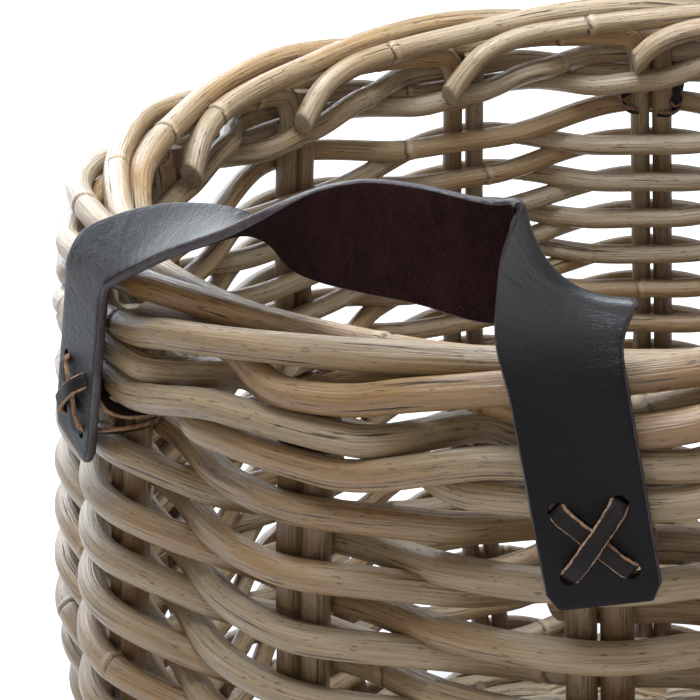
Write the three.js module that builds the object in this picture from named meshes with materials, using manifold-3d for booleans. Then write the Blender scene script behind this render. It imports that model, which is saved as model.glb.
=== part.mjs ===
// A round wicker log basket: twined rows of thick cane round paired stakes, a rolled
// rim, a foot border, a woven base, and two leather strap handles laced to the wall.
// Millimetres, +Z up. The origin is the middle of the basket on the floor.
import * as THREE from 'three';
import { mergeVertices } from 'three/addons/utils/BufferGeometryUtils.js';
import Module from 'manifold-3d';

// Driving dimensions
const RIM_TOP = 362; // height of the top of the rolled rim
const WALL_RADII = [178, 201, 211, 200, 188]; // stake centres, at even heights from floor to rim
const STAKE_PAIRS = 14;
const CANE = 9.5; // diameter of every round cane
const GAP = 0.4; // clearance between neighbouring pieces
const RIM_RADIUS = WALL_RADII.at(-1);

const STAKE_LEVELS = 10;
const PAIR_SHOULDER = [1.5, 0.9]; // outline of a pair of stakes, in cane radii
const PAIR_WAIST = 0.65; // half thickness where the two canes of a pair meet, in cane radii

const ROW_PITCH = 19;
const ROW_GAP = 2.5; // open height between one row and the next
const ROW_COUNT = 16; // evenly spaced rows
const TOP_ROW = 52; // depth of the highest evenly spaced row below the rim
const TIGHT_ROWS = [38, 28]; // depths of the beaten-down rows just under the rim
const TIGHT_HEIGHT = 8.4;
const ROW_WAVE = 11.5; // how far a row swings out and in round the stakes
const STEPS_PER_PAIR = 3;
const RING_STEPS = STAKE_PAIRS * STEPS_PER_PAIR;

const BORDER_HEIGHT = 23.5;
const BORDER_HALF = 14; // half of the border's thickness across the wall
const BORDER_ROUNDING = 0.45; // corner cut, as a share of the border's half thickness
const FOOT_HEIGHT = 13.5;
const FOOT_HALF = 13;
const FOOT_CUT = 4; // corner cut at the outer bottom edge

const BASE_RADIUS = 166;
const BASE_THICK = 9;
const BASE_EDGE = 2; // corner cut round the woven disc
const BASE_LIFT = 4; // height of the lowest sticks above the floor
const BASE_STICK_GAP = 4; // from the ends of the sticks to the foot border
const BASE_STICKS_WIDE = 28.5;
const BASE_STICK_THICK = 5.6;

const STRAP_WIDE = 30;
const STRAP_THICK = 3.2;
const STRAP_DROP = 60; // how far a strap end hangs below the rim
const STRAP_STANDING = 1.6; // how far a strap end stands above the rim
const STRAP_CORNER = [4.5, 2.6]; // corner cut at the foot of a strap end
const STRAP_TILT = THREE.MathUtils.degToRad(9);
const LACE_WIDE = 5.2;
const LACE_THICK = 1.6;
const LACE_CROSSING = 0.7; // rise of the upper thong, in thicknesses
const LACE_SPREAD = [16, 18]; // spacing of the four lace holes
const LACE_DROP = 42; // depth of the lace cross below the rim
const HOLE_RADIUS = 2.4;
const TAIL_OVERLAP = 1; // how far the tails run up into the cross
const TAIL_SIDES = 6;
const HINGE_HEIGHT = RIM_TOP + 4.5;
const ARCH_RISE = 42; // top edge of the raised strap above its hinge line
const ARCH_FOOT = 2.2; // where the raised strap starts above its hinge line
const ARCH_BENDS = [34, 7]; // radii of the arch's outer and inner corners
const REST_LEAN = THREE.MathUtils.degToRad(15); // towards the inside of the basket

const wasm = await Module();
wasm.setup();

const COLOURS = {
  cane: { color: 0x9a8767, roughness: 0.55, metalness: 0 },
  stake: { color: 0x7d6244, roughness: 0.6, metalness: 0 },
  strap: { color: 0x2b2729, roughness: 0.45, metalness: 0 },
  lace: { color: 0x3b2c28, roughness: 0.6, metalness: 0 },
};

const basket = new THREE.Group();

function add(name, geometry, look, parent = basket) {
  const mesh = new THREE.Mesh(geometry, new THREE.MeshStandardMaterial(COLOURS[look]));
  mesh.name = name;
  parent.add(mesh);
  return mesh;
}

// Radius of the stakes' centre line at a height: a smooth curve through WALL_RADII,
// upright where it meets the rim.
function wallRadius(height) {
  const last = WALL_RADII.length - 1;
  const place = THREE.MathUtils.clamp((height / RIM_TOP) * last, 0, last);
  const i = Math.min(Math.floor(place), last - 1);
  const t = place - i;
  const [a, b] = [WALL_RADII[i], WALL_RADII[i + 1]];
  const slopeA = i > 0 ? (b - WALL_RADII[i - 1]) / 2 : b - a;
  const slopeB = i + 2 <= last ? (WALL_RADII[i + 2] - a) / 2 : 0;
  const away = slopeA * t * (1 - t) * (1 - t) - slopeB * t * t * (1 - t);
  return a + (b - a) * t * t * (3 - 2 * t) + away;
}

// A closed body from equal rings of points. Each ring is wound anticlockwise as seen
// from the side that the next ring lies on, and a loop joins its last ring to its first.
function loft(rings, loop = false) {
  const count = rings[0].length;
  const positions = rings.flat().flatMap((p) => [p.x, p.y, p.z]);
  const faces = [];
  const spans = loop ? rings.length : rings.length - 1;
  for (let i = 0; i < spans; i += 1) {
    const here = i * count;
    const next = ((i + 1) % rings.length) * count;
    for (let j = 0; j < count; j += 1) {
      const k = (j + 1) % count;
      faces.push(here + j, here + k, next + k, here + j, next + k, next + j);
    }
  }
  if (!loop) {
    const end = (rings.length - 1) * count;
    for (let j = 1; j < count - 1; j += 1) {
      faces.push(0, j + 1, j, end, end + j, end + j + 1);
    }
  }
  const geometry = new THREE.BufferGeometry();
  geometry.setAttribute('position', new THREE.Float32BufferAttribute(positions, 3));
  geometry.setIndex(faces);
  return geometry;
}

// A ring round the basket. section(angle) gives its outline as [radius, height] pairs,
// running anticlockwise when the radius points right and the height up.
function ringRound(steps, section) {
  const rings = [];
  for (let i = 0; i < steps; i += 1) {
    const angle = (-2 * Math.PI * i) / steps;
    const [x, y] = [Math.sin(angle), -Math.cos(angle)];
    rings.push(section(angle).map(([r, z]) => new THREE.Vector3(r * x, r * y, z)));
  }
  return loft(rings, true);
}

// An evenly rounded outline for a rope-like border.
function borderOutline(radius, half, low, high) {
  const cut = Math.min(half, (high - low) / 2) * BORDER_ROUNDING;
  return [
    [radius - half, low + cut],
    [radius - half + cut, low],
    [radius + half - cut, low],
    [radius + half, low + cut],
    [radius + half, high - cut],
    [radius + half - cut, high],
    [radius - half + cut, high],
    [radius - half, high - cut],
  ];
}

// One row of weave: it passes outside one pair of stakes and inside the next.
function weaveRow(middle, height, phase) {
  const [low, high] = [middle - height / 2, middle + height / 2];
  return ringRound(RING_STEPS, (angle) => {
    const swing = ROW_WAVE * Math.cos((angle * STAKE_PAIRS) / 2 + phase * Math.PI);
    const [inner, outer] = [swing - CANE / 2, swing + CANE / 2];
    return [
      [wallRadius(low) + inner, low],
      [wallRadius(low) + outer, low],
      [wallRadius(high) + outer, high],
      [wallRadius(high) + inner, high],
    ];
  });
}

function addWeave() {
  const heights = [];
  for (let i = ROW_COUNT - 1; i >= 0; i -= 1) {
    heights.push([RIM_TOP - TOP_ROW - i * ROW_PITCH, ROW_PITCH - ROW_GAP]);
  }
  TIGHT_ROWS.forEach((depth) => heights.push([RIM_TOP - depth, TIGHT_HEIGHT]));
  heights.forEach(([middle, height], i) => {
    const name = `weave_row_${String(i + 1).padStart(2, '0')}`;
    add(name, weaveRow(middle, height, i % 2), 'cane');
  });
}

// Two canes side by side that follow the wall from the foot border to the rim.
function stakePair(angle) {
  const low = FOOT_HEIGHT + GAP;
  const high = RIM_TOP - BORDER_HEIGHT - GAP;
  const [side, out] = PAIR_SHOULDER.map((share) => (share * CANE) / 2);
  const waist = (PAIR_WAIST * CANE) / 2;
  const outline = [
    [-CANE, 0],
    [-side, -out],
    [0, -waist],
    [side, -out],
    [CANE, 0],
    [side, out],
    [0, waist],
    [-side, out],
  ];
  const rings = [];
  for (let i = 0; i <= STAKE_LEVELS; i += 1) {
    const z = low + ((high - low) * i) / STAKE_LEVELS;
    const ring = outline.map(([x, y]) => new THREE.Vector3(x, y - wallRadius(z), z));
    rings.push(ring.map((p) => p.applyAxisAngle(new THREE.Vector3(0, 0, 1), angle)));
  }
  return loft(rings);
}

function addStakes() {
  for (let i = 0; i < STAKE_PAIRS; i += 1) {
    const angle = (2 * Math.PI * i) / STAKE_PAIRS;
    add(`stake_pair_${String(i + 1).padStart(2, '0')}`, stakePair(angle), 'stake');
  }
}

function addBorders() {
  const rim = borderOutline(RIM_RADIUS, BORDER_HALF, RIM_TOP - BORDER_HEIGHT, RIM_TOP);
  add('rim_border', ringRound(RING_STEPS, () => rim), 'cane');
  const foot = wallRadius(FOOT_HEIGHT / 2);
  const outline = [
    [foot - FOOT_HALF, 0],
    [foot + FOOT_HALF - FOOT_CUT, 0],
    [foot + FOOT_HALF, FOOT_CUT],
    [foot + FOOT_HALF, FOOT_HEIGHT],
    [foot - FOOT_HALF, FOOT_HEIGHT],
  ];
  add('foot_border', ringRound(RING_STEPS, () => outline), 'cane');
}

function addBase() {
  const reach = wallRadius(FOOT_HEIGHT / 2) - FOOT_HALF - BASE_STICK_GAP;
  const names = ['base_sticks_lengthwise', 'base_sticks_crosswise'];
  names.forEach((name, i) => {
    const bar = new THREE.BoxGeometry(reach * 2, BASE_STICKS_WIDE, BASE_STICK_THICK);
    const mesh = add(name, bar, 'stake');
    mesh.rotation.z = (i * Math.PI) / 2;
    mesh.position.z = BASE_LIFT + BASE_STICK_THICK / 2 + i * (BASE_STICK_THICK + GAP);
  });
  const low = BASE_LIFT + 2 * (BASE_STICK_THICK + GAP);
  const high = low + BASE_THICK;
  const profile = [
    new THREE.Vector2(0, low),
    new THREE.Vector2(BASE_RADIUS - BASE_EDGE, low),
    new THREE.Vector2(BASE_RADIUS, low + BASE_EDGE),
    new THREE.Vector2(BASE_RADIUS, high - BASE_EDGE),
    new THREE.Vector2(BASE_RADIUS - BASE_EDGE, high),
    new THREE.Vector2(0, high),
  ];
  const disc = add('base_weave', new THREE.LatheGeometry(profile, RING_STEPS), 'cane');
  disc.rotation.x = Math.PI / 2;
}

// Joins solids into one with a boolean union.
function joined(geometries) {
  const solids = geometries.map((source) => {
    const bare = source.clone();
    bare.deleteAttribute('normal');
    bare.deleteAttribute('uv');
    const merged = mergeVertices(bare, 1e-4);
    const vertProperties = new Float32Array(merged.attributes.position.array);
    const triVerts = new Uint32Array(merged.index.array);
    return new wasm.Manifold(new wasm.Mesh({ numProp: 3, vertProperties, triVerts }));
  });
  const mesh = solids.reduce((sum, solid) => sum.add(solid)).getMesh();
  const geometry = new THREE.BufferGeometry();
  geometry.setAttribute('position', new THREE.BufferAttribute(mesh.vertProperties, 3));
  geometry.setIndex(new THREE.BufferAttribute(mesh.triVerts, 1));
  return geometry;
}

const HOLES = [[-1, -1], [1, -1], [1, 1], [-1, 1]].map(([x, y]) => [
  (x * LACE_SPREAD[0]) / 2,
  (y * LACE_SPREAD[1]) / 2,
]);

// A strap end, flat in X and Y with its grain side towards +Z, and the lace cross at
// its origin. Its foot corners are cut off.
function strapEnd(length) {
  const half = STRAP_WIDE / 2;
  const foot = LACE_DROP - STRAP_DROP;
  const [cutX, cutY] = STRAP_CORNER;
  const outline = new THREE.Shape([
    new THREE.Vector2(-half, foot + cutY),
    new THREE.Vector2(-half + cutX, foot),
    new THREE.Vector2(half - cutX, foot),
    new THREE.Vector2(half, foot + cutY),
    new THREE.Vector2(half, foot + length),
    new THREE.Vector2(-half, foot + length),
  ]);
  HOLES.forEach(([x, y]) => {
    outline.holes.push(new THREE.Path().absarc(x, y, HOLE_RADIUS, 0, 2 * Math.PI));
  });
  const cut = { depth: STRAP_THICK, bevelEnabled: false, curveSegments: 5 };
  return new THREE.ExtrudeGeometry(outline, cut);
}

// The lace: a cross of two flat thongs on the grain side, and their four tails, which
// go down through the holes.
function laceCross() {
  const reach = Math.hypot(...LACE_SPREAD) / 2 + HOLE_RADIUS;
  const lean = Math.atan2(LACE_SPREAD[1], LACE_SPREAD[0]);
  const parts = [lean, -lean].map((angle, i) => {
    const thick = LACE_THICK * (1 + i * LACE_CROSSING);
    const bar = new THREE.BoxGeometry(2 * reach, LACE_WIDE, thick);
    bar.translate(0, 0, STRAP_THICK + GAP / 2 + thick / 2);
    return bar.rotateZ(angle);
  });
  HOLES.forEach(([x, y]) => {
    const radius = HOLE_RADIUS - GAP;
    const long = STRAP_THICK + TAIL_OVERLAP;
    const tail = new THREE.CylinderGeometry(radius, radius, long, TAIL_SIDES);
    tail.rotateX(Math.PI / 2);
    tail.translate(x, y, long / 2);
    parts.push(tail);
  });
  return joined(parts);
}

// The raised part of the strap: an arch cut from one thickness, standing in X and Y
// with its hinge line along X.
function strapArch(footSpan) {
  const half = STRAP_WIDE / 2;
  const [outer, inner] = [footSpan / 2 + half, footSpan / 2 - half];
  const [bigBend, smallBend] = ARCH_BENDS;
  const shape = new THREE.Shape();
  shape.moveTo(outer, ARCH_FOOT);
  shape.lineTo(outer, ARCH_RISE - bigBend);
  shape.absarc(outer - bigBend, ARCH_RISE - bigBend, bigBend, 0, Math.PI / 2);
  shape.absarc(bigBend - outer, ARCH_RISE - bigBend, bigBend, Math.PI / 2, Math.PI);
  shape.lineTo(-outer, ARCH_FOOT);
  shape.lineTo(-inner, ARCH_FOOT);
  const ceiling = ARCH_RISE - STRAP_WIDE;
  shape.absarc(smallBend - inner, ceiling - smallBend, smallBend, Math.PI, Math.PI / 2, true);
  shape.absarc(inner - smallBend, ceiling - smallBend, smallBend, Math.PI / 2, 0, true);
  shape.lineTo(inner, ARCH_FOOT);
  const cut = { depth: STRAP_THICK, bevelEnabled: false, curveSegments: 7 };
  const arch = new THREE.ExtrudeGeometry(shape, cut);
  return arch.translate(0, 0, -STRAP_THICK / 2);
}

// One handle, built over the stakes on the -Y side and turned to its place.
function addHandle(side, turn) {
  const handle = new THREE.Group();
  handle.rotation.z = turn;
  basket.add(handle);

  const head = RIM_RADIUS + BORDER_HALF + 2 * GAP;
  const footHeight = RIM_TOP - STRAP_DROP;
  const foot = wallRadius(footHeight) + ROW_WAVE + CANE / 2 + 2 * GAP;
  const slope = Math.atan2(foot - head, STRAP_DROP);
  const laceRadius = head + LACE_DROP * Math.tan(slope);
  const spread = (2 * Math.PI) / STAKE_PAIRS;
  const length = STRAP_DROP + STRAP_STANDING;

  [['left', -1], ['right', 1]].forEach(([name, sign]) => {
    const place = new THREE.Group();
    place.rotation.z = sign * spread;
    const seat = new THREE.Group();
    seat.position.set(0, -laceRadius, RIM_TOP - LACE_DROP);
    seat.rotation.x = Math.PI / 2 - slope;
    const tilt = new THREE.Group();
    tilt.rotation.z = sign * STRAP_TILT;
    handle.add(place);
    place.add(seat);
    seat.add(tilt);
    add(`${side}_strap_end_${name}`, strapEnd(length), 'strap', tilt);
    add(`${side}_lace_${name}`, laceCross(), 'lace', tilt);
  });

  const headCentre = head + STRAP_THICK / 2;
  const shift = LACE_DROP * Math.sin(STRAP_TILT);
  const halfSpan = headCentre * Math.sin(spread) - shift * Math.cos(spread);
  const hingeOut = headCentre * Math.cos(spread) + shift * Math.sin(spread);
  const arch = add(`${side}_strap_arch`, strapArch(2 * halfSpan), 'strap', handle);
  arch.position.set(0, -hingeOut, HINGE_HEIGHT);
  arch.rotation.x = Math.PI / 2 - REST_LEAN;
}

addWeave();
addStakes();
addBorders();
addBase();
addHandle('front', 0);
addHandle('back', Math.PI);

export default basket;
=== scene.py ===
"""Looks of a round wicker log basket: twined canes on paired stakes, a rolled rim, a woven base
and two leather strap handles laced to the wall. Metres, in the frame of the CAD model."""
import math

import bpy
import numpy as np
from mathutils import Matrix, Vector


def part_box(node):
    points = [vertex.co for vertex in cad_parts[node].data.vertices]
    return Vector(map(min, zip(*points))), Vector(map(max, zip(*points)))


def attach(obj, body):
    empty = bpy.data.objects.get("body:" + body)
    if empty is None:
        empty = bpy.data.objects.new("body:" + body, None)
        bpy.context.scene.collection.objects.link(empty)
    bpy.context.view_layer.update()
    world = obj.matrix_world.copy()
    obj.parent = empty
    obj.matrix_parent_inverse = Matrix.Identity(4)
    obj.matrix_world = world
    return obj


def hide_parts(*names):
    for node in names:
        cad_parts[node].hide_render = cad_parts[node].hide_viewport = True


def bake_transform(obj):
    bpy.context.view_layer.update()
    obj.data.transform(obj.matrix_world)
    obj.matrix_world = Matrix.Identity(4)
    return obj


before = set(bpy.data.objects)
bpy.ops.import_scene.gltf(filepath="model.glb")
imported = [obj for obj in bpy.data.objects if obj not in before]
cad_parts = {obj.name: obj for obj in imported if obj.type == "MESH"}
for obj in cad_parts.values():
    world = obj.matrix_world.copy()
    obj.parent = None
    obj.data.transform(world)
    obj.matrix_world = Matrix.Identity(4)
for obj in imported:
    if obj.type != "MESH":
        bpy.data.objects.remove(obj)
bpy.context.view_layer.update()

MM = 0.001
RIM_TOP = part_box("rim_border")[1].z
PAIRS = sum(name.startswith("stake_pair_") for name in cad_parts)
SPACING = 2 * math.pi / PAIRS
WALL_RADII = np.array([178, 201, 211, 200, 188]) * MM  # stake centres, at even heights up to the rim
RIM_RADIUS = WALL_RADII[-1]
ROW_PITCH = 19 * MM
ROWS = 16
CANE = 4.7 * MM  # radius of the wall's canes
SIDES = 16
TURN_STEP = 0.012  # step along a woven cane's path, in pairs of stakes
WAVE_ARC = 0.2  # mean radius of the wall, for the length of a cane's waves, in metres

# ---------------------------------------------------------------- shapes shared by the canes

def smooth(low, high, t):
    """0 before low, 1 after high, and a smooth step between."""
    u = np.clip((np.asarray(t, float) - low) / (high - low), 0, 1)
    return u * u * (3 - 2 * u)


def wall_radius(height):
    """Radius of the stakes' centre line, as on the CAD model."""
    last = len(WALL_RADII) - 1
    place = np.clip(np.asarray(height, float) / RIM_TOP * last, 0, last)
    i = np.minimum(place.astype(int), last - 1)
    t = place - i
    a, b = WALL_RADII[i], WALL_RADII[i + 1]
    before = WALL_RADII[np.maximum(i - 1, 0)]
    after = WALL_RADII[np.minimum(i + 2, last)]
    slope_a = np.where(i > 0, (b - before) / 2, b - a)
    slope_b = np.where(i + 2 <= last, (after - a) / 2, 0)
    away = slope_a * t * (1 - t) ** 2 - slope_b * t * t * (1 - t)
    return a + (b - a) * t * t * (3 - 2 * t) + away


def unit(vectors):
    """The vectors at length 1."""
    return vectors / np.linalg.norm(vectors, axis=-1)[..., None]


def lengths_along(path):
    """The distance along a path to each of its points."""
    return np.concatenate([[0], np.cumsum(np.linalg.norm(np.diff(path, axis=0), axis=1))])


def round_points(angle, radius, height):
    """Points at angles round the basket: 0 is over -Y, and a quarter turn is over +X."""
    return np.stack([radius * np.sin(angle), -radius * np.cos(angle), height + 0 * angle], -1)


def wobble(rng, t, period, size):
    """A smooth random wave along t, in metres, that keeps within about size."""
    total = np.zeros(len(t))
    for octave in range(3):
        phase = rng.uniform(0, 2 * math.pi)
        total += np.sin(2 * math.pi * t / period * (1 + 0.83 * octave) + phase) / (1 + octave)
    return total * size / 1.8


def curve_through(points, step=1.5 * MM):
    """A Catmull-Rom curve through given points."""
    p = np.asarray(points, float)
    p = np.vstack([2 * p[0] - p[1], p, 2 * p[-1] - p[-2]])
    pieces = []
    for a, b, c, d in zip(p, p[1:], p[2:], p[3:]):
        count = max(3, int(np.linalg.norm(c - b) / step))
        t = np.linspace(0, 1, count, endpoint=False)[:, None]
        pieces.append(
            0.5 * (2 * b + (c - a) * t + (2 * a - 5 * b + 4 * c - d) * t ** 2
                   + (3 * b - a - 3 * c + d) * t ** 3)
        )
    pieces.append(p[-2][None])
    return np.vstack(pieces)


def mesh_object(name, points, faces, attributes=None):
    """A smooth-shaded piece, with an attribute for each array of one number or vector per point."""
    mesh = bpy.data.meshes.new(name)
    mesh.from_pydata([tuple(p) for p in points], [], [tuple(f) for f in faces])
    for key, values in (attributes or {}).items():
        values = np.asarray(values, np.float32)
        if values.ndim == 2:
            layer = mesh.attributes.new(key, "FLOAT_VECTOR", "POINT")
            layer.data.foreach_set("vector", values.ravel())
        else:
            layer = mesh.attributes.new(key, "FLOAT", "POINT")
            layer.data.foreach_set("value", values)
    mesh.polygons.foreach_set("use_smooth", np.ones(len(mesh.polygons), bool))
    mesh.update()
    piece = bpy.data.objects.new(name, mesh)
    bpy.context.scene.collection.objects.link(piece)
    return piece


def cane_stations(length, rings, step):
    """Distances along a cane: even steps, and closer ones at its node rings and its ends."""
    stops = [np.linspace(0, length, max(8, int(length / step)))]
    for ring in rings:
        stops.append(ring + np.arange(-4.5, 4.6, 0.75) * MM)
    for end in (0, length):
        stops.append(end + np.array([-9, -6, -3, -1, 1, 3, 6, 9]) * MM)
    s = np.unique(np.round(np.clip(np.concatenate(stops), 0, length), 6))
    keep = np.concatenate([[True], np.diff(s) > 0.25 * MM])
    return s[keep]


def cane_frame(centre, s, outward):
    """A cane's direction at each station, and two directions across it. The first of these points
    away from the basket's axis, or along outward."""
    tangent = unit(np.gradient(centre, s, axis=0))
    if outward is None:
        reference = unit(centre * [1, 1, 0])
    else:
        reference = np.broadcast_to(np.asarray(outward, float), centre.shape)
    one = unit(reference - tangent * np.sum(reference * tangent, axis=1)[:, None])
    return tangent, one, np.cross(tangent, one)


def cane_faces(count, sides):
    """Faces of a tube of count rings. Its points go on with two smaller rings for the start, two for
    the end, and the middle of each cut face."""
    base = count * sides
    index = np.arange(base).reshape(count, sides)
    caps = [np.arange(base + ring * sides, base + (ring + 1) * sides) for ring in range(4)]
    chain_start = [index[0], *caps[:2]]
    chain_end = [index[-1], *caps[2:]]
    tip_start = base + 4 * sides
    tip_end = tip_start + 1
    faces = []
    nxt = np.roll(np.arange(sides), -1)
    for a, b in zip(index[:-1], index[1:]):
        faces += list(zip(a, a[nxt], b[nxt], b))
    for a, b in zip(chain_start, chain_start[1:]):
        faces += list(zip(a, b, b[nxt], a[nxt]))
    for a, b in zip(chain_end, chain_end[1:]):
        faces += list(zip(a, a[nxt], b[nxt], b))
    faces += [(chain_start[-1][j], tip_start, chain_start[-1][nxt[j]]) for j in range(sides)]
    faces += [(chain_end[-1][j], chain_end[-1][nxt[j]], tip_end) for j in range(sides)]
    return faces


def cane(name, path, radius, material, seed, outward=None, sides=SIDES, step=4 * MM,
         node_gap=(0.2, 0.42), cut_start=0.0, cut_end=0.0, roughness=1.0):
    """A round cane along a dense path. It has node rings, an uneven thickness and cut ends, and
    carries its own length and girth as the attribute 'cane' for the grain."""
    rng = np.random.default_rng(seed)
    path = np.asarray(path, float)
    along = lengths_along(path)
    length = along[-1]
    rings = []
    place = rng.uniform(0.02, node_gap[0])
    while place < length - 0.012:
        rings.append(place)
        place += rng.uniform(*node_gap)
    s = cane_stations(length, rings, step)
    centre = np.stack([np.interp(s, along, path[:, k]) for k in range(3)], -1)
    tangent, one, two = cane_frame(centre, s, outward)

    # the girth: slow waves, a slight taper, and a ridge with a groove at each node ring
    around = np.linspace(0, 2 * math.pi, sides, endpoint=False)
    grid_s = s[:, None] + 0 * around[None]
    thick = radius * (1 + 0.025 * roughness * wobble(rng, s, 0.11, 1.0))
    taper = 1 + rng.uniform(-0.035, 0.035) * (s / length - 0.5) * 2
    girth = (thick * taper)[:, None] * np.ones(sides)[None]
    for lobe in (2, 3):
        girth *= 1 + 0.012 * roughness * np.sin(lobe * around + rng.uniform(0, 6) + s[:, None] * 9)
    mark = np.zeros_like(girth)
    for ring in rings:
        waves = np.sin(3 * around + rng.uniform(0, 6)) + 0.6 * np.sin(7 * around + rng.uniform(0, 6))
        away = grid_s - ring - 0.55 * MM * waves[None]
        size = rng.uniform(0.5, 1.25) * roughness
        ridge = np.exp(-(away / (1.5 * MM)) ** 2)
        groove = np.exp(-((away - 1.9 * MM) / (0.75 * MM)) ** 2)
        girth += radius * size * (0.052 * ridge - 0.075 * groove)
        mark += size * (ridge - 1.35 * groove)
    points = centre[:, None] + girth[..., None] * (
        np.cos(around)[None, :, None] * one[:, None] + np.sin(around)[None, :, None] * two[:, None]
    )
    for end, slope in ((0, cut_start), (-1, cut_end)):
        if slope:
            near = np.exp(-((s - s[end]) / (7 * MM)) ** 2)
            lean = slope * radius * np.sin(around + rng.uniform(-0.5, 0.5))
            points += (near[:, None] * lean[None])[..., None] * tangent[:, None]

    # each end: a small rounded edge, then the cut face
    starts, ends, tips = [], [], []
    for inset in (0.93, 0.55):
        for group, row, sign in ((starts, 0, -1), (ends, -1, 1)):
            middle = points[row].mean(axis=0)
            group.append(middle + (points[row] - middle) * inset + sign * tangent[row] * 0.35 * MM)
    for row, sign in ((0, -1), (-1, 1)):
        tips.append(points[row].mean(axis=0) + sign * tangent[row] * 0.4 * MM)
    all_points = np.concatenate([points.reshape(-1, 3), *starts, *ends, tips])

    shift = seed * 0.731 % 7
    grain = np.stack([grid_s + shift, girth * np.cos(around)[None], girth * np.sin(around)[None]], -1)
    cap_grain = [grain[0], grain[0] * [1, .55, .55], grain[-1], grain[-1] * [1, .55, .55],
                 grain[:1, 0] * [1, 0, 0], grain[-1:, 0] * [1, 0, 0]]
    wall = len(s) * sides
    caps = len(all_points) - wall
    attributes = {
        "cane": np.concatenate([grain.reshape(-1, 3), *cap_grain]),
        "mark": np.concatenate([mark.ravel(), np.zeros(caps)]),
        "cut": np.concatenate([np.zeros(wall), np.ones(caps)]),
        "tint": np.full(wall + caps, rng.uniform(0, 1)),
    }
    piece = mesh_object(name, all_points, cane_faces(len(s), sides), attributes)
    piece.data.materials.append(material)
    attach(piece, "basket")
    return piece


def join(name, pieces, *nodes):
    """One piece from several with the same material. It stands for the CAD nodes named."""
    first = pieces[0]
    if len(pieces) > 1:
        with bpy.context.temp_override(active_object=first, object=first,
                                       selected_editable_objects=pieces, selected_objects=pieces):
            bpy.ops.object.join()
    first.name = name
    first.data.name = name
    if nodes:
        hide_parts(*nodes)
    return first


# ---------------------------------------------------------------- materials

def new_material(name):
    """A material, its node tree and its shader."""
    made = bpy.data.materials.new(name)
    made.use_nodes = True
    return made, made.node_tree, made.node_tree.nodes["Principled BSDF"]


def feed(tree, socket, value):
    """Links a node's output to a socket, or sets a constant on the socket itself."""
    if isinstance(value, bpy.types.NodeSocket):
        tree.links.new(value, socket)
    elif value is not None:
        socket.default_value = value


def attribute(tree, name, output="Fac"):
    found = tree.nodes.new("ShaderNodeAttribute")
    found.attribute_name = name
    return found.outputs[output]


def scaled(tree, vector, scale):
    made = tree.nodes.new("ShaderNodeVectorMath")
    made.operation = "MULTIPLY"
    feed(tree, made.inputs[0], vector)
    made.inputs[1].default_value = scale
    return made.outputs[0]


def noise(tree, vector, scale, detail=3.0, rough=0.55, distortion=0.0):
    """Noise with its own number of cells to the metre along each axis of vector."""
    made = tree.nodes.new("ShaderNodeTexNoise")
    made.inputs["Scale"].default_value = 1.0
    made.inputs["Detail"].default_value = detail
    made.inputs["Roughness"].default_value = rough
    made.inputs["Distortion"].default_value = distortion
    feed(tree, made.inputs["Vector"], scaled(tree, vector, scale))
    return made.outputs["Fac"]


def span(tree, value, low, high, to_low=0.0, to_high=1.0):
    """value mapped smoothly from low..high to to_low..to_high, and held outside them."""
    made = tree.nodes.new("ShaderNodeMapRange")
    made.interpolation_type = "SMOOTHSTEP"
    feed(tree, made.inputs["Value"], value)
    for key, number in (("From Min", low), ("From Max", high), ("To Min", to_low), ("To Max", to_high)):
        made.inputs[key].default_value = number
    return made.outputs["Result"]


def calc(tree, operation, a, b=None):
    made = tree.nodes.new("ShaderNodeMath")
    made.operation = operation
    feed(tree, made.inputs[0], a)
    feed(tree, made.inputs[1], b)
    return made.outputs[0]


def mixed(tree, factor, a, b, blend="MIX"):
    """Colour a, with as much of colour b as factor says. Each is a socket or three numbers."""
    made = tree.nodes.new("ShaderNodeMix")
    made.data_type = "RGBA"
    made.blend_type = blend
    feed(tree, made.inputs["Factor"], factor)
    for socket, value in ((made.inputs[6], a), (made.inputs[7], b)):
        feed(tree, socket, value if isinstance(value, bpy.types.NodeSocket) else (*value, 1.0))
    return made.outputs[2]


def bump(tree, height, distance):
    """A normal for relief of the given height, in metres."""
    made = tree.nodes.new("ShaderNodeBump")
    made.inputs["Strength"].default_value = 1.0
    made.inputs["Distance"].default_value = distance
    feed(tree, made.inputs["Height"], height)
    return made.outputs["Normal"]


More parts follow.
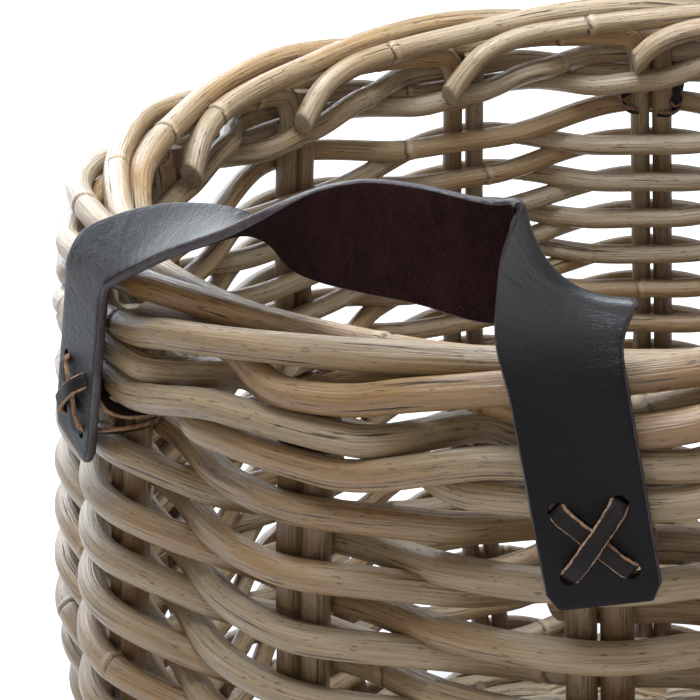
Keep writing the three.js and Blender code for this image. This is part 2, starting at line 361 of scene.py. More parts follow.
def cane_material(name, warm, grey, dark, gloss):
    """Weathered cane: lengthwise fibres, grey and warm patches, dark flecks and pale node lips. The
    side that faces out of the basket is painted darker and warmer as shade, and the side that faces in
    is painted paler and cooler as light."""
    made, tree, shader = new_material(name)
    grain = attribute(tree, "cane", "Vector")
    tint = attribute(tree, "tint")
    mark = attribute(tree, "mark")
    cut = attribute(tree, "cut")
    fibre = noise(tree, grain, (34, 1500, 1500), 4, 0.6)
    streak = noise(tree, grain, (9, 420, 420), 4, 0.62, 0.15)
    patch = noise(tree, grain, (10, 55, 55), 3, 0.5)
    fleck = noise(tree, grain, (230, 1100, 1100), 2, 0.5)
    crack = noise(tree, grain, (16, 820, 820), 3, 0.7, 0.2)

    weather = calc(tree, "ADD", span(tree, patch, 0.34, 0.66, -0.35, 0.45), tint)
    colour = mixed(tree, span(tree, weather, 0.15, 0.95), warm, grey)
    colour = mixed(tree, span(tree, streak, 0.52, 0.74, 0.0, 0.45), colour, dark)
    pale = tuple(min(1.0, c * 1.38 + 0.02) for c in grey)
    colour = mixed(tree, span(tree, streak, 0.46, 0.26, 0.0, 0.42), colour, pale)
    colour = mixed(tree, span(tree, fibre, 0.32, 0.62, 0.5, 0.0), colour, (0.42, 0.33, 0.25), "MULTIPLY")
    colour = mixed(tree, span(tree, fleck, 0.62, 0.70, 0.0, 0.75), colour, dark)
    colour = mixed(tree, span(tree, crack, 0.61, 0.68, 0.0, 0.75), colour, tuple(c * 0.45 for c in dark))
    colour = mixed(tree, span(tree, mark, 0.2, 0.9, 0.0, 0.4), colour, pale)
    colour = mixed(tree, span(tree, mark, -0.2, -0.9, 0.0, 0.75), colour, tuple(c * 0.4 for c in dark))
    # painted light and shade: each cane's inward side is made paler and bluer and its outward side darker
    # and warmer, so the far wall's inside reads as lit and the near wall's outside as shaded
    apart = tree.nodes.new("ShaderNodeSeparateXYZ")
    feed(tree, apart.inputs[0], grain)
    painted_light_side_mask = span(tree, apart.outputs["Y"], -0.6 * CANE, 0.75 * CANE)
    painted_light_and_shade = mixed(tree, painted_light_side_mask, (1.46, 1.52, 1.62), (0.86, 0.81, 0.72))
    colour = mixed(tree, 1.0, colour, painted_light_and_shade, "MULTIPLY")
    pores = noise(tree, grain, (900, 2600, 2600), 2, 0.5)
    pith = mixed(tree, span(tree, pores, 0.42, 0.66), (0.43, 0.345, 0.235), (0.235, 0.17, 0.105))
    colour = mixed(tree, cut, colour, pith)
    feed(tree, shader.inputs["Base Color"], colour)
    rough = calc(tree, "ADD", span(tree, patch, 0.3, 0.7, gloss - 0.09, gloss + 0.10),
                 span(tree, fibre, 0.3, 0.7, 0.09, 0.0))
    feed(tree, shader.inputs["Roughness"], rough)
    shader.inputs["Specular IOR Level"].default_value = 0.55
    relief = calc(tree, "ADD", fibre, span(tree, crack, 0.62, 0.70, 0.0, -2.2))
    relief = calc(tree, "ADD", relief, calc(tree, "MULTIPLY", streak, 1.6))
    feed(tree, shader.inputs["Normal"], bump(tree, relief, 0.00042))
    return made


WEAVER = cane_material("weaver_cane", (0.268, 0.169, 0.079), (0.308, 0.234, 0.147),
                       (0.062, 0.036, 0.016), 0.32)
BORDER = cane_material("border_cane", (0.272, 0.163, 0.070), (0.292, 0.209, 0.120),
                       (0.058, 0.032, 0.014), 0.29)
STAKE = cane_material("stake_cane", (0.180, 0.107, 0.050), (0.222, 0.157, 0.093),
                      (0.047, 0.027, 0.012), 0.38)


def leather_materials():
    """The strap's smooth face, its suede back and its cut edges. The face shines where the strap folds,
    which the point attribute 'polish' marks."""
    grain_made, tree, shader = new_material("strap_grain")
    place = attribute(tree, "strip", "Vector")
    pores = noise(tree, place, (1500, 1500, 1500), 3, 0.6)
    crease = noise(tree, place, (130, 420, 130), 4, 0.6, 0.6)
    cloud = noise(tree, place, (26, 34, 26), 3, 0.5)
    colour = mixed(tree, span(tree, cloud, 0.35, 0.65),
                   (0.0036, 0.0030, 0.0038), (0.0072, 0.0060, 0.0070))
    colour = mixed(tree, span(tree, crease, 0.60, 0.76, 0.0, 0.5), colour, (0.0130, 0.0112, 0.0130))
    feed(tree, shader.inputs["Base Color"], colour)
    rough = calc(tree, "ADD", span(tree, cloud, 0.3, 0.7, 0.30, 0.40),
                 span(tree, pores, 0.35, 0.7, 0.06, 0.0))
    feed(tree, shader.inputs["Roughness"], rough)
    polish = attribute(tree, "polish")
    feed(tree, shader.inputs["Specular IOR Level"], span(tree, polish, 0.0, 1.0, 0.11, 0.75))
    relief = calc(tree, "ADD", calc(tree, "MULTIPLY", pores, 0.45), crease)
    feed(tree, shader.inputs["Normal"], bump(tree, relief, 0.00045))

    flesh_made, tree, shader = new_material("strap_flesh")
    place = attribute(tree, "strip", "Vector")
    nap = noise(tree, place, (2300, 2300, 2300), 3, 0.7)
    lie = noise(tree, place, (90, 160, 90), 4, 0.65, 0.5)
    colour = mixed(tree, span(tree, lie, 0.35, 0.68), (0.0105, 0.0030, 0.0030), (0.0200, 0.0066, 0.0062))
    colour = mixed(tree, span(tree, nap, 0.48, 0.72, 0.0, 0.6), colour, (0.050, 0.024, 0.022))
    feed(tree, shader.inputs["Base Color"], colour)
    shader.inputs["Roughness"].default_value = 0.92
    shader.inputs["Specular IOR Level"].default_value = 0.05
    feed(tree, shader.inputs["Normal"], bump(tree, calc(tree, "ADD", nap, lie), 0.0006))

    edge_made, tree, shader = new_material("strap_edge")
    place = attribute(tree, "strip", "Vector")
    frayed = noise(tree, place, (900, 260, 900), 3, 0.6)
    wear = noise(tree, place, (60, 60, 60), 3, 0.5)
    colour = mixed(tree, span(tree, frayed, 0.35, 0.7), (0.014, 0.007, 0.008), (0.042, 0.027, 0.029))
    colour = mixed(tree, span(tree, wear, 0.54, 0.70, 0.0, 0.5), colour, (0.095, 0.080, 0.086))
    feed(tree, shader.inputs["Base Color"], colour)
    feed(tree, shader.inputs["Roughness"], span(tree, frayed, 0.3, 0.7, 0.45, 0.62))
    feed(tree, shader.inputs["Normal"], bump(tree, frayed, 0.0005))
    return grain_made, flesh_made, edge_made


def lace_materials():
    """The laces' smooth faces and their raw, paler edges."""
    face_made, tree, shader = new_material("lace_face")
    place = attribute(tree, "strip", "Vector")
    crease = noise(tree, place, (700, 240, 700), 4, 0.6)
    cloud = noise(tree, place, (90, 60, 90), 2, 0.5)
    colour = mixed(tree, span(tree, cloud, 0.35, 0.65),
                   (0.0058, 0.0040, 0.0038), (0.0125, 0.0086, 0.0078))
    colour = mixed(tree, span(tree, crease, 0.58, 0.74, 0.0, 0.4), colour, (0.028, 0.019, 0.015))
    feed(tree, shader.inputs["Base Color"], colour)
    feed(tree, shader.inputs["Roughness"], span(tree, cloud, 0.3, 0.7, 0.5, 0.66))
    shader.inputs["Specular IOR Level"].default_value = 0.16
    feed(tree, shader.inputs["Normal"], bump(tree, crease, 0.0005))

    raw_made, tree, shader = new_material("lace_raw")
    place = attribute(tree, "strip", "Vector")
    fuzz = noise(tree, place, (1400, 700, 1400), 4, 0.7)
    colour = mixed(tree, span(tree, fuzz, 0.32, 0.68), (0.10, 0.044, 0.022), (0.44, 0.26, 0.145))
    feed(tree, shader.inputs["Base Color"], colour)
    shader.inputs["Roughness"].default_value = 0.9
    feed(tree, shader.inputs["Normal"], bump(tree, fuzz, 0.0009))
    return face_made, raw_made


STRAP_GRAIN, STRAP_FLESH, STRAP_EDGE = leather_materials()
LACE_FACE, LACE_RAW = lace_materials()


# ---------------------------------------------------------------- the woven wall

TOP_STRAND = 51 * MM      # the highest strand's centre, below the rim's top
STAKE_OFFSET = 4.85 * MM  # each stake of a pair from the pair's middle
WEAVE_OUT = 9.6 * MM      # a strand's centre from the stakes' centre line, where it passes a pair
STRAND_STEP = 9.6 * MM    # the second strand of a row lies this much lower than the first
INSIDE_DROP = 6.5 * MM    # a strand is this much lower where it passes inside a pair


def strand(row, parity):
    """One of the two strands of a row. It passes outside every second pair of stakes, sinks as it
    goes in, and ends on the inside, laid over its own start."""
    rng = np.random.default_rng(900 + 2 * row + parity)
    first = 1 - parity + 2 * int(rng.integers(-2, 2))
    last = first + PAIRS
    turns = np.arange(first - rng.uniform(0.05, 0.16), last + rng.uniform(0.14, 0.3), TURN_STEP)
    lag = rng.uniform(-0.05, 0.05, PAIRS + 4)
    pair = np.floor(turns).astype(int)
    u = turns - pair - lag[pair - first + 2] * np.sin(np.pi * (turns - pair))
    going_in = pair % 2 == parity
    across = np.where(going_in, 1 - 2 * smooth(0, 0.85, u), 2 * smooth(0.15, 1, u) - 1)
    sunk = np.where(going_in, smooth(0.15, 0.95, u), 1 - smooth(0.3, 0.95, u))
    tuck = smooth(last - 0.5, last - 0.08, turns)
    z = RIM_TOP - TOP_STRAND - ROW_PITCH * row - STRAND_STEP * parity - INSIDE_DROP * sunk
    arc = (turns - first) * SPACING * WAVE_ARC
    z = z + wobble(rng, arc, 0.17, 0.6 * MM)
    radial = WEAVE_OUT * across - 2 * CANE * tuck + wobble(rng, arc, 0.13, 0.4 * MM)
    path = round_points(turns * SPACING, wall_radius(z) + radial, z)
    return cane(f"strand_{row:02d}_{parity}", path, CANE, WEAVER, 1000 + 2 * row + parity,
                cut_start=0.5, cut_end=0.8)


def weave_row(row):
    """A row of the wall. The lowest has a single strand, so that it clears the foot."""
    parities = (0,) if row == ROWS - 1 else (0, 1)
    number = ROWS - row
    return join(f"weave_{number:02d}", [strand(row, parity) for parity in parities],
                f"weave_row_{number:02d}")


for row in range(ROWS):
    weave_row(row)


def top_wale():
    """Three rods under the border: each passes in front of two pairs and behind the next."""
    rods = []
    for rod in range(3):
        first = 5 + rod
        last = PAIRS + 0.4 if rod < 2 else PAIRS - 2.6
        n = np.arange(-0.45, last, TURN_STEP)
        phase = np.floor(n).astype(int) % 3
        u = n - np.floor(n)
        radial = np.zeros(len(n))
        z = np.zeros(len(n))
        low, high, inside = -37.0, -27.0, -35.5  # mm from the rim's top
        # phase 2 ends a stroke at the outside low place, phase 0 climbs, phase 1 goes in
        swap = smooth(0.25, 0.65, u)
        climb = phase == 0
        goes_in = phase == 1
        comes_out = phase == 2
        radial[climb] = 1
        z[climb] = low + (high - low) * smooth(0.15, 0.75, u[climb])
        radial[goes_in] = 1 - 2 * swap[goes_in]
        z[goes_in] = high + (inside - high) * smooth(0.6, 1.0, u[goes_in])
        radial[comes_out] = 2 * swap[comes_out] - 1
        z[comes_out] = inside + (low - inside) * smooth(0.0, 0.3, u[comes_out])
        bulge = np.where(climb, 2.0 * np.sin(math.pi * u) ** 2, 0)
        place = (first + n) * SPACING
        height = RIM_TOP + z * MM
        arc = n * SPACING * WAVE_ARC
        rng = np.random.default_rng(70 + rod)
        height = height + wobble(rng, arc, 0.15, 0.4 * MM)
        radius = wall_radius(height) + radial * WEAVE_OUT + bulge * MM
        path = round_points(place, radius, height)
        rods.append(cane(f"wale_{rod}", path, CANE * 0.98, WEAVER, 2000 + rod,
                         cut_start=0.6, cut_end=0.8))
    return join("top_wale", rods, f"weave_row_{ROWS + 1:02d}", f"weave_row_{ROWS + 2:02d}")


top_wale()


# ---------------------------------------------------------------- stakes, border and foot

STAKE_RADIUS = 4.45 * MM
STAKE_TOPS = {-1: 16 * MM, 1: 30 * MM}  # below the rim's top; the second goes on as a border cane
BORDER_PATH = (  # pairs along, mm out from the stakes, mm below the rim's top
    (0.5, -1.4, 14), (0.72, 2.0, 14.6), (0.88, 7.4, 16.8), (1, 9.4, 18.2), (1.25, 9.8, 16),
    (1.5, 9.6, 10.8), (2, 6.5, 5.2), (2.5, -1, 4.8), (3, -6.8, 7.2), (3.4, -9.2, 8.8),
    (3.72, -11.4, 10.6), (3.93, -12.9, 15.5), (4.06, -13.8, 23.5), (4.16, -14.3, 32),
    (4.25, -14.6, 40),
)
FOOT_RADIUS = 180 * MM
FOOT_OUT = 8.4 * MM  # a foot rod's centre from the stakes' centre line
FOOT_CANE = 4.6 * MM
STAKE_FOOT = (  # radius and height of a stake from under the base to the wall, in mm
    (110, 5.2), (150, 5.2), (166, 5.7), (175.5, 9.5), (179.5, 17),
)


def stake_path(pair, side, top, rng):
    """A stake from under the base, round the foot and up the wall to the height top."""
    angle = pair * SPACING
    heights = np.arange(26 * MM, top, 4 * MM)
    profile = [(radius * MM, height * MM) for radius, height in STAKE_FOOT]
    profile += [(float(wall_radius(h)), float(h)) for h in heights]
    radius, z = np.array(profile).T
    lean = rng.uniform(-1.2, 1.2) * MM * np.sin(z / RIM_TOP * math.pi)
    offset = side * STAKE_OFFSET + lean
    outward = np.array([math.sin(angle), -math.cos(angle)])
    sideways = np.array([math.cos(angle), math.sin(angle)])
    flat = radius[:, None] * outward + offset[:, None] * sideways
    return np.column_stack([flat, z])


for pair in range(PAIRS):
    rng = np.random.default_rng(300 + pair)
    made = []
    for side in (-1, 1):
        path = curve_through(stake_path(pair, side, RIM_TOP - STAKE_TOPS[side], rng), 3 * MM)
        made.append(cane(f"stake_{pair}_{side}", path, STAKE_RADIUS * rng.uniform(0.95, 1.06), STAKE,
                         3000 + 10 * pair + side, cut_start=0.7, cut_end=0.2))
    join(f"stakes_{pair + 1:02d}", made, f"stake_pair_{pair + 1:02d}")


def border():
    """Each pair's second stake turns along the rim, over the next ones, and ends inside."""
    canes = []
    for pair in range(PAIRS):
        rng = np.random.default_rng(500 + pair)
        first = pair + STAKE_OFFSET / (RIM_RADIUS * SPACING)
        points = [(first, 0, 42), (first, 0, 31), (first + 0.015, -0.3, 23.5),
                  (first + 0.075, -0.5, 17.6)]
        last = 4.15 + rng.uniform(-0.05, 0.03)
        sag = rng.uniform(-0.8, 0.8)
        for along, out, down in BORDER_PATH:
            points.append((pair + along, out, down + (sag if 0.9 < along < 3 else 0)))
        bent = []
        for place, out, down in points:
            bent.append((place * SPACING * RIM_RADIUS, out * MM, RIM_TOP - down * MM))
        dense = curve_through(bent, 2 * MM)
        dense = dense[dense[:, 0] <= (pair + last) * SPACING * RIM_RADIUS]
        path = round_points(dense[:, 0] / RIM_RADIUS, RIM_RADIUS + dense[:, 1], dense[:, 2])
        canes.append(cane(f"border_{pair}", path, CANE * rng.uniform(0.98, 1.05), BORDER, 4000 + pair,
                          cut_end=0.7, node_gap=(0.13, 0.3), roughness=1.25))
    return join("border", canes, "rim_border")


border()


def foot():
    """Three rods round the foot, each in front of two pairs of stakes and behind one."""
    rods = []
    for rod in range(3):
        n = np.arange(0, PAIRS + 0.35, TURN_STEP)
        phase = np.floor(n).astype(int) % 3
        u = n - np.floor(n)
        swap = smooth(0.2, 0.6, u)
        low, high, inside = 4.9, 14.2, 14.3  # mm from the floor
        radial = np.where(phase == 0, 1, np.where(phase == 1, 1 - 2 * swap, 2 * swap - 1))
        z = np.where(phase == 0, low + (high - low) * smooth(0.15, 0.8, u),
                     np.where(phase == 1, high, inside + (low - inside) * smooth(0.5, 0.95, u)))
        radius = FOOT_RADIUS + radial * FOOT_OUT
        path = round_points((8 + rod + n) * SPACING, radius, z * MM)
        rods.append(cane(f"foot_{rod}", path, FOOT_CANE, WEAVER, 5000 + rod,
                         cut_start=0.6, cut_end=0.8))
    return join("foot", rods, "foot_border")


foot()

BASE_LEVEL = 20.5 * MM
BASE_STICK = 3.0 * MM
BASE_REACH = 170 * MM
BASE_CANE = 2.6 * MM
SPOKES = 16
SPOKE_ANGLE = 2 * math.pi / SPOKES


def base():
    """Two crossed bundles of sticks that fan out, and rounds of thinner cane woven through them."""
    for name, turn, lift in (("lengthwise", 0, -1), ("crosswise", 90, 1)):
        sticks = []
        for index in range(4):
            aside = (index - 1.5) * 6.2 * MM
            fan = (index - 1.5) * SPOKE_ANGLE
            end = (BASE_REACH * math.cos(fan), BASE_REACH * math.sin(fan))
            half = [(0, aside, lift * 3.1 * MM), (22 * MM, aside, lift * 2.8 * MM),
                    (34 * MM, aside * 1.15, 0), (end[0] * 0.5, end[1] * 0.5, 0), (*end, 0)]
            whole = [(-x, y, z) for x, y, z in half[:0:-1]] + half
            c, s = math.cos(math.radians(turn)), math.sin(math.radians(turn))
            points = [(x * c - y * s, x * s + y * c, BASE_LEVEL + z) for x, y, z in whole]
            sticks.append(cane(f"stick_{name}_{index}", curve_through(points, 3 * MM), BASE_STICK, STAKE,
                               6000 + turn + index, outward=(0, 0, 1),
                               cut_start=0.3, cut_end=0.3))
        join(f"base_{name}", sticks, f"base_sticks_{name}")
    rounds = []
    turn = np.arange(0, 21.4, 0.006)
    for parity in (-1, 1):
        around = turn * 2 * math.pi
        radius = 32 * MM + turn * 6 * MM
        z = BASE_LEVEL + parity * 5.3 * MM * np.cos(around * SPOKES / 2)
        path = round_points(around + SPOKE_ANGLE / 2, radius, z)
        rounds.append(cane(f"round_{parity}", path, BASE_CANE, WEAVER, 7000 + parity,
                           sides=8, step=5 * MM, node_gap=(0.5, 0.9), cut_end=0.5))
    return join("base_rounds", rounds, "base_weave")


base()


# ---------------------------------------------------------------- strap handles

STRAP_THICK = 3.2 * MM
STRAP_HALF = 15 * MM
TAB_CORNER = (4.5 * MM, 2.6 * MM)  # up the edge, and across the end
TAB_DROP = -18 * MM  # the tab's end, from the middle of its four holes
TAB_SPREAD = SPACING  # the tabs lie over the next pairs of stakes from the handle's middle
TAB_TILT = math.radians(9)
TAB_HEAD = RIM_RADIUS + 14.8 * MM  # the flesh side's radius at the rim's top, and at TAB_RUN below it
TAB_RUN = 60 * MM
TAB_FOOT = float(wall_radius(RIM_TOP - TAB_RUN)) + 17.05 * MM
TAB_SLOPE = math.atan2(TAB_FOOT - TAB_HEAD, TAB_RUN)
LACE_DROP = 42 * MM  # the middle of a tab's holes, below the rim's top
HOLES = [(x * 8 * MM, y * 9 * MM) for x in (-1, 1) for y in (-1, 1)]
HOLE_RADIUS = 2.4 * MM
TAB_ROWS = (-18, -8, 2, 12, 22, 32, 40)  # heights of the rulings on a tab, in mm from its holes' middle


def tab_matrix(side):
    """Places a tab's own frame (across, up, out) on the wall, for the front handle. side is +1 on the
    right."""
    reach = TAB_HEAD + LACE_DROP * math.tan(TAB_SLOPE)
    return (Matrix.Rotation(side * TAB_SPREAD, 4, "Z")
            @ Matrix.Translation((0, -reach, RIM_TOP - LACE_DROP))
            @ Matrix.Rotation(math.pi / 2 - TAB_SLOPE, 4, "X")
            @ Matrix.Rotation(side * TAB_TILT, 4, "Z"))


FLAT = (0, 0, 0)  # a part of the strap that is straight across


def strap_rulings():
    """Lines across the strap on its smooth face, (edge one, edge two, hang of the middle), from the
    right tab's end to the left tab's end. Edge one is each tab's edge nearer the handle's middle."""

    def on_tab(side):
        place = tab_matrix(side)
        rows = []
        for up in TAB_ROWS:
            edges = [place @ Vector((edge * side * STRAP_HALF, up * MM, STRAP_THICK)) for edge in (-1, 1)]
            rows.append([*edges, Vector(FLAT)])
        return rows

    # the free part: edge one, edge two, each (along the chord, out from the axis, up from the rim), and
    # how far the middle hangs off the line between them, in mm
    free = (
        ((65, 192, 10), (94, 178, 8), FLAT),
        ((65.5, 191, 20), (94, 176, 12), (-1, 0, -1.2)),
        ((67.5, 190, 32), (94.5, 174, 15), (-3, 0, -3.6)),
        ((70.5, 188.5, 40), (95, 173, 17.5), (-4.8, 0, -6.2)),
        ((72, 186.5, 44), (93.5, 170.5, 18), (-5.6, 0, -7.4)),
        ((69.5, 184, 45), (87, 170, 14.5), (-5, 0, -6.2)),
        ((62.5, 182.5, 43.5), (74, 177, 10), (-2.6, 0, -3.2)),
        ((54, 182, 43), (58.5, 183, 9.5), (-0.6, 0, -0.6)),
        ((40, 183, 44), (40, 186, 12), FLAT),
        ((24, 184, 43.5), (22, 185.5, 12), FLAT),
        ((9, 185.5, 40), (4, 181, 10.5), FLAT),
        ((-4, 187, 34.5), (-12, 173, 9.5), FLAT),
        ((-15, 189, 29), (-24, 166, 12), FLAT),
        ((-25, 190, 23.5), (-34, 161.5, 15), FLAT),
        ((-35.5, 190.5, 18.5), (-45, 160, 17), FLAT),
        ((-46, 191.5, 13.5), (-59, 163, 18), FLAT),
        ((-54, 193, 9.5), (-72, 168, 16.5), FLAT),
        ((-61, 195, 5.5), (-83, 174, 13.5), FLAT),
        ((-66, 196.5, 2), (-91, 179, 9.5), FLAT),
    )
    middle = []
    for *edges, hang in free:
        row = [Vector((x * MM, -out * MM, RIM_TOP + z * MM)) for x, out, z in edges]
        middle.append([*row, Vector((hang[0], -hang[1], hang[2])) * MM])
    return np.array(on_tab(1) + middle + on_tab(-1)[::-1], float)


def hermite(knots, values, at):
    """A smooth curve through values at knots, and its slope."""
    slopes = np.gradient(values, knots, axis=0)
    i = np.clip(np.searchsorted(knots, at, side="right") - 1, 0, len(knots) - 2)
    step = (knots[i + 1] - knots[i])[:, None]
    t = ((at - knots[i]) / step[:, 0])[:, None]
    a, b, sa, sb = values[i], values[i + 1], slopes[i] * step, slopes[i + 1] * step
    place = (a * (2 * t ** 3 - 3 * t ** 2 + 1) + b * (3 * t ** 2 - 2 * t ** 3)
             + sa * (t ** 3 - 2 * t ** 2 + t) + sb * (t ** 3 - t ** 2))
    slope = (a - b) * (6 * t ** 2 - 6 * t) + sa * (3 * t ** 2 - 4 * t + 1) + sb * (3 * t ** 2 - 2 * t)
    return place, slope / step


def flat_strap(length):
    """The strap as it is cut and punched: x across, y along, z up from the flesh side's level."""
    round_edge = 1.1 * MM
    steps = np.linspace(0, length, int(length / (1.7 * MM)))
    rims = [0.5 * MM, TAB_CORNER[0], length - TAB_CORNER[0], length - 0.5 * MM]
    steps = np.unique(np.concatenate([steps, rims]))
    turn = np.radians([0, 30, 60, 90])
    corner = round_edge * np.stack([np.sin(turn), np.cos(turn)], -1)
    inner = STRAP_HALF - round_edge
    across = np.linspace(-inner, inner, 13)[1:-1]
    section = [(inner + dx, -round_edge + dz) for dx, dz in corner]
    section += [(inner + dx, round_edge - STRAP_THICK - dz) for dx, dz in corner[::-1]]
    section += [(x, -STRAP_THICK) for x in across[::-1]]
    section += [(-inner - dx, round_edge - STRAP_THICK - dz) for dx, dz in corner]
    section += [(-inner - dx, -round_edge + dz) for dx, dz in corner[::-1]]
    section += [(x, 0) for x in across]
    section = np.array(section)
    count = len(section)
    points = []
    for y in steps:
        end = min(y, length - y)
        narrow = TAB_CORNER[1] * max(0.0, 1 - end / TAB_CORNER[0]) / STRAP_HALF
        thin = 1 - 0.16 * math.exp(-end / (0.35 * MM))
        for x, z in section:
            middle = -STRAP_THICK / 2
            points.append((x * (1 - narrow), y, middle + (z - middle) * thin))
    faces = []
    for row in range(len(steps) - 1):
        a = row * count
        for j in range(count):
            k = (j + 1) % count
            faces.append((a + j, a + k, a + count + k, a + count + j))
    faces.append(tuple(range(count))[::-1])
    last = (len(steps) - 1) * count
    faces.append(tuple(range(last, last + count)))
    flat = mesh_object("flat_strap", points, faces)

    cutters = []
    for hole_x, hole_up in HOLES:
        for y in (hole_up - TAB_DROP, length - (hole_up - TAB_DROP)):
            bpy.ops.mesh.primitive_cylinder_add(vertices=28, radius=HOLE_RADIUS, depth=12 * MM,
                                                location=(hole_x, y, -STRAP_THICK / 2))
            cutters.append(bpy.context.object)
    for cutter in cutters:
        punch = flat.modifiers.new("punch", "BOOLEAN")
        punch.operation = "DIFFERENCE"
        punch.solver = "EXACT"
        punch.object = cutter
    evaluated = flat.evaluated_get(bpy.context.evaluated_depsgraph_get())
    punched = bpy.data.meshes.new_from_object(evaluated)
    flat.modifiers.clear()
    flat.data = punched
    for cutter in cutters:
        bpy.data.objects.remove(cutter)
    return flat


def strap(name, handle, turn, seed):
    """A strap handle with its two tabs. It bends just over the rim, to one fixed shape."""
    rulings = strap_rulings()
    middle = rulings[:, :2].mean(axis=1)
    knots = lengths_along(middle)
    piece = flat_strap(knots[-1])
    mesh = piece.data
    flat = np.array([v.co for v in mesh.vertices])
    normals = np.array([f.normal for f in mesh.polygons])
    for material in (STRAP_GRAIN, STRAP_FLESH, STRAP_EDGE):
        mesh.materials.append(material)
    kind = np.where(normals[:, 2] > 0.8, 0, np.where(normals[:, 2] < -0.8, 1, 2))
    mesh.polygons.foreach_set("material_index", kind.astype(np.int32))
    mesh.set_sharp_from_angle(angle=math.radians(50))

    rng = np.random.default_rng(seed)
    s = np.clip(flat[:, 1], 0, knots[-1])
    one, slope_one = hermite(knots, rulings[:, 0], s)
    two, slope_two = hermite(knots, rulings[:, 1], s)
    hang, slope_hang = hermite(knots, rulings[:, 2], s)
    share = ((flat[:, 0] + STRAP_HALF) / (2 * STRAP_HALF))[:, None]
    belly = 4 * share * (1 - share)
    along = slope_one + (slope_two - slope_one) * share + slope_hang * belly
    sideways = two - one + hang * (4 - 8 * share)
    outward = unit(np.cross(unit(sideways), unit(along)))
    free = smooth(60 * MM, 80 * MM, np.minimum(s, knots[-1] - s))
    wave = wobble(rng, s + flat[:, 0] * 0.6, 0.07, 0.35 * MM) * free
    bent = one + (two - one) * share + hang * belly + outward * (flat[:, 2] + wave)[:, None]
    mesh.vertices.foreach_set("co", bent.astype(np.float32).ravel())
    layer = mesh.attributes.new("strip", "FLOAT_VECTOR", "POINT")
    layer.data.foreach_set("vector", (flat + [seed * 0.11, seed * 0.37, 0]).astype(np.float32).ravel())
    polish = smooth(52 * MM, 98 * MM, s) * (1 - smooth(118 * MM, 142 * MM, s))
    layer = mesh.attributes.new("polish", "FLOAT", "POINT")
    layer.data.foreach_set("value", polish.astype(np.float32))
    mesh.transform(Matrix.Rotation(turn, 4, "Z"))
    mesh.update()
    piece.name = name
    mesh.name = name
    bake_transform(piece)
    prefix = handle.split("_")[0]
    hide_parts(f"{prefix}_strap_end_left", f"{prefix}_strap_end_right", f"{prefix}_strap_arch")
    return piece


strap("front_strap", "front_handle", 0.0, 11)
strap("back_strap", "back_handle", math.pi, 12)


LACE_WIDE = 5.0 * MM
LACE_THICK = 1.6 * MM
LACE_SECTION = (  # share of the half width, share of the half thickness
    (-1, -0.55), (-1.02, 0), (-0.97, 0.6), (-0.86, 0.95), (-0.4, 1.04), (0.1, 1), (0.5, 1.05),
    (0.86, 0.95), (0.97, 0.6), (1.02, 0), (1, -0.55), (0.85, -0.95), (0.3, -1), (-0.3, -1),
    (-0.85, -0.95),
)
LACE_EDGES = (0, 1, 2, 7, 8, 9, 10, 14)  # the sides of the section that are raw


def ribbon(name, path, across, seed):
    """A flat lace along a path. across is its wide direction at the path's middle."""
    path = np.asarray(path, float)
    s = lengths_along(path)
    tangent = unit(np.gradient(path, s, axis=0))
    centre = len(path) // 2
    sideways = np.zeros_like(path)
    sideways[centre] = across
    for way in (1, -1):
        last = np.asarray(across, float)
        stop = len(path) if way > 0 else -1
        for i in range(centre, stop, way):
            last = unit(last - tangent[i] * np.dot(last, tangent[i]))
            sideways[i] = last
    out = np.cross(sideways, tangent)
    rng = np.random.default_rng(seed)
    half = LACE_WIDE / 2 * (1 + wobble(rng, s, 0.013, 0.05))
    section = np.array(LACE_SECTION)
    count = len(section)
    fray = rng.uniform(-0.12, 0.12, (len(path), count)) * MM
    aside = half[:, None] * section[None, :, 0]
    above = 0 * s[:, None] + LACE_THICK / 2 * section[None, :, 1]
    points = (path[:, None] + sideways[:, None] * (aside + fray)[..., None]
              + out[:, None] * above[..., None])
    flat = np.stack([aside, s[:, None] + 0 * aside, above], -1) + [0, seed * 0.07, 0]
    faces, kinds = [], []
    for row in range(len(path) - 1):
        for j in range(count):
            k = (j + 1) % count
            a, b = row * count, (row + 1) * count
            faces.append((a + j, a + k, b + k, b + j))
            kinds.append(int(j in LACE_EDGES))
    faces += [tuple(range(count))[::-1], tuple(range((len(path) - 1) * count, len(path) * count))]
    kinds += [1, 1]
    piece = mesh_object(name, points.reshape(-1, 3), faces, {"strip": flat.reshape(-1, 3)})
    piece.data.materials.append(LACE_FACE)
    piece.data.materials.append(LACE_RAW)
    piece.data.polygons.foreach_set("material_index", np.array(kinds, np.int32))
    return piece


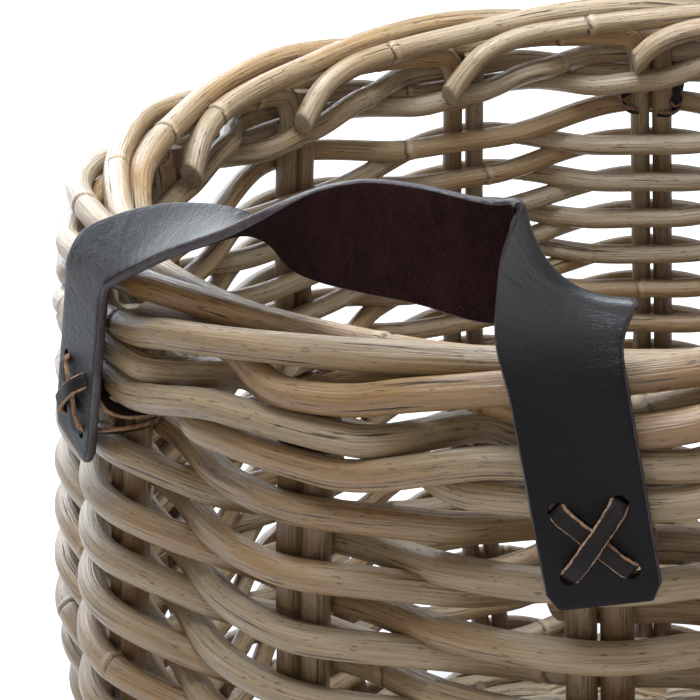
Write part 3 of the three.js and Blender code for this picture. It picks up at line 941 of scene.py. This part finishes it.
def lace(handle, side, turn):
    """The crossed lace that ties a tab to the pair of stakes behind it."""
    place = Matrix.Rotation(turn, 4, "Z") @ tab_matrix(side)
    word = "right" if side > 0 else "left"
    prefix = handle.split("_")[0]
    pieces = []
    for index, way in enumerate((-1, 1)):
        # the second lace crosses over the first
        high = STRAP_THICK + (1.0, 2.3)[index] * MM
        lift = high + (0.4, 1.1)[index] * MM
        deeper = -1.7 * index
        tail_in = (
            (way * -4, -7.6, -21.8), (way * -9, -7.6, -21.2), (way * -11.7, -7.6, -17.5),
            (way * -12, -7.9, -11), (way * -10.4, -8.7, -5), (way * -8.6, -9.3, -1),
            (way * -8, -9.2, 2.2), (way * -7.1, -8.0, 4.3),
        )
        tail_out = (
            (way * 7.1, 8.0, 4.3), (way * 8, 9.2, 2.2), (way * 8.3, 8.7, -0.8), (way * 9.2, 4.5, -1.8),
            (way * 10.8, 0.4, -4.5), (way * 12, -1.6, -10), (way * 11.9, -2, -16.5 + deeper),
            (way * 9, -2, -21.1 + deeper), (way * 2, -2, -21.9 + deeper), (way * -8, -2, -21.7 + deeper),
        )
        path = [Vector(p) * MM for p in tail_in]
        crossing = Vector((0, 0, lift))
        path += [Vector((way * -4.6 * MM, -5.2 * MM, high + 0.6 * MM)), crossing,
                 Vector((way * 4.6 * MM, 5.2 * MM, high + 0.6 * MM))]
        path += [Vector(p) * MM for p in tail_out]
        dense = curve_through([tuple(p) for p in path], 0.7 * MM)
        middle = Vector((-way * 9, 8, 0)).normalized()
        world = np.array([place @ Vector(p) for p in dense])
        # equal lengths are kept on both sides of the crossing, where the width's direction is known
        nearest = int(np.argmin(np.linalg.norm(dense - np.array(crossing), axis=1)))
        reach = min(nearest, len(dense) - 1 - nearest)
        world = world[nearest - reach:nearest + reach + 1]
        across = np.array(place.to_3x3() @ middle)
        pieces.append(ribbon(f"lace_{word}_{index}", world, across, 40 + 3 * index + side))
    for piece in pieces:
        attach(piece, "basket")
    return join(f"{prefix}_lace_{word}_x", pieces, f"{prefix}_lace_{word}")


for handle, turn in (("front_handle", 0.0), ("back_handle", math.pi)):
    for side in (-1, 1):
        lace(handle, side, turn)


# ---------------------------------------------------------------- floor, light and camera

AZIMUTH, ASIDE, TILT, ROLL = 28.47, 9.82, 24.14, -4.61  # degrees
DISTANCE, RAISED = 0.6104, 0.1935  # from the axis, and above the rim's top
LENS = 92.4


def stage_floor():
    """A plain pale floor."""
    made, tree, shader = new_material("studio_floor")
    place = tree.nodes.new("ShaderNodeNewGeometry").outputs["Position"]
    mottle = noise(tree, place, (9, 9, 9), 3, 0.5)
    colour = mixed(tree, span(tree, mottle, 0.35, 0.65), (0.90, 0.90, 0.91), (0.93, 0.93, 0.935))
    feed(tree, shader.inputs["Base Color"], colour)
    shader.inputs["Roughness"].default_value = 0.8
    reach = 9.0
    corners = [(-reach, -reach, 0), (reach, -reach, 0), (reach, reach, 0), (-reach, reach, 0)]
    floor = mesh_object("floor", corners, [(0, 1, 2, 3)])
    floor.data.materials.append(made)


def area_light(name, place, target, size, power, colour):
    """A rectangular lamp at place that shines towards target."""
    lamp = bpy.data.lights.new(name, "AREA")
    lamp.shape = "RECTANGLE"
    lamp.size, lamp.size_y = size
    lamp.energy = power
    lamp.color = colour
    made = bpy.data.objects.new(name, lamp)
    made.location = place
    made.rotation_mode = "QUATERNION"
    made.rotation_quaternion = (Vector(target) - Vector(place)).to_track_quat("-Z", "Y")
    bpy.context.scene.collection.objects.link(made)


def light_scene():
    """A large cool window on the left, soft light from above and in front, and an even world."""
    centre = (0, 0, RIM_TOP * 0.8)
    area_light("window", (-1.6, 0.7, 0.78), centre, (1.5, 1.1), 27, (0.86, 0.93, 1.0))
    area_light("overhead", (-0.12, -0.06, 1.35), centre, (0.7, 0.7), 27, (0.80, 0.89, 1.0))
    area_light("fill", (0.7, -1.9, 0.75), centre, (1.4, 1.0), 10, (1.0, 0.93, 0.85))
    area_light("backdrop", (-1.9, 1.9, 1.5), (-2.1, 2.2, 0), (1.5, 1.5), 55, (0.95, 0.97, 1.0))
    world = bpy.data.worlds.new("studio")
    world.use_nodes = True
    background = world.node_tree.nodes["Background"]
    background.inputs["Color"].default_value = (0.96, 0.97, 1.0, 1)
    background.inputs["Strength"].default_value = 0.42
    bpy.context.scene.world = world
    bpy.context.scene.view_settings.view_transform = "Standard"


def aim_camera():
    """The camera stands at an azimuth round the basket and looks a little past its middle, down and
    with a slight roll."""
    azimuth = math.radians(AZIMUTH)
    heading = math.radians(AZIMUTH + ASIDE)
    tilt = math.radians(TILT)
    roll = math.radians(ROLL)
    eye = Vector((math.sin(azimuth) * DISTANCE, -math.cos(azimuth) * DISTANCE, RIM_TOP + RAISED))
    ahead = Vector((-math.sin(heading), math.cos(heading), 0))
    right = Vector((math.cos(heading), math.sin(heading), 0))
    up = Vector((0, 0, 1))
    forward = ahead * math.cos(tilt) - up * math.sin(tilt)
    down = -(ahead * math.sin(tilt) + up * math.cos(tilt))
    image_right = right * math.cos(roll) - down * math.sin(roll)
    image_down = right * math.sin(roll) + down * math.cos(roll)
    lens = bpy.data.cameras.new("camera")
    lens.sensor_width = 36
    lens.lens = LENS
    lens.clip_start, lens.clip_end = 0.01, 60
    camera = bpy.data.objects.new("camera", lens)
    camera.matrix_world = Matrix((
        (image_right.x, -image_down.x, -forward.x, eye.x),
        (image_right.y, -image_down.y, -forward.y, eye.y),
        (image_right.z, -image_down.z, -forward.z, eye.z),
        (0, 0, 0, 1),
    ))
    bpy.context.scene.collection.objects.link(camera)
    bpy.context.scene.camera = camera


stage_floor()
light_scene()
aim_camera()
